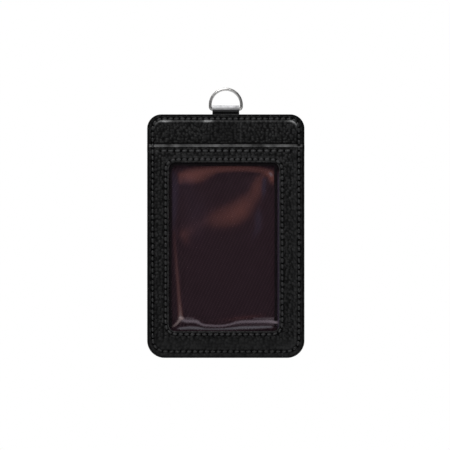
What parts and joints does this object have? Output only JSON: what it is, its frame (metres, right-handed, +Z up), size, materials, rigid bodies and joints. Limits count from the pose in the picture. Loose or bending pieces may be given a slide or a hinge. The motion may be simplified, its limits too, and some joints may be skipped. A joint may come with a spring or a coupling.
{
  "type": "id holder",
  "caption": "Upright black leather badge holder with a clear window, a card pocket on each face and a wire D-ring held by a strap.",
  "frame": {"origin": "underside of the ring's bow, where a lanyard's hook bears, midway across the ring and in its plane", "axes": "+Z up the hanging holder, +X to the right of a person who looks at the window, +Y out of the back"},
  "size_m": [0.072, 0.0071, 0.1237],
  "materials": {
    "black_leather": "pebbled grain, soft sheen",
    "brown_black_twill": "fine twill",
    "clear_film": "clear and glossy, slightly wavy",
    "grey_board": "plain",
    "black_thread": "twisted polyester thread",
    "bright_steel": "polished nickel plate"
  },
  "bodies": {
    "ring": {"d_ring": "bright_steel"},
    "holder": {"hanging_strap": "black_leather", "core_board": "grey_board", "back_panel": "black_leather", "back_pocket": "black_leather", "pocket_lining": "brown_black_twill", "front_band": "black_leather", "front_panel": "black_leather", "window_film": "clear_film", "front_edge_thread": "black_thread", "back_edge_thread": "black_thread", "window_thread": "black_thread", "mouth_thread": "black_thread"}
  },
  "joints": [
    {"name": "ring_swing", "type": "hinge", "parent": "ring", "child": "holder", "pos_m": [0, 0, -0.0085], "axis": [1, 0, 0], "range_deg": [-120, 120]}
  ]
}
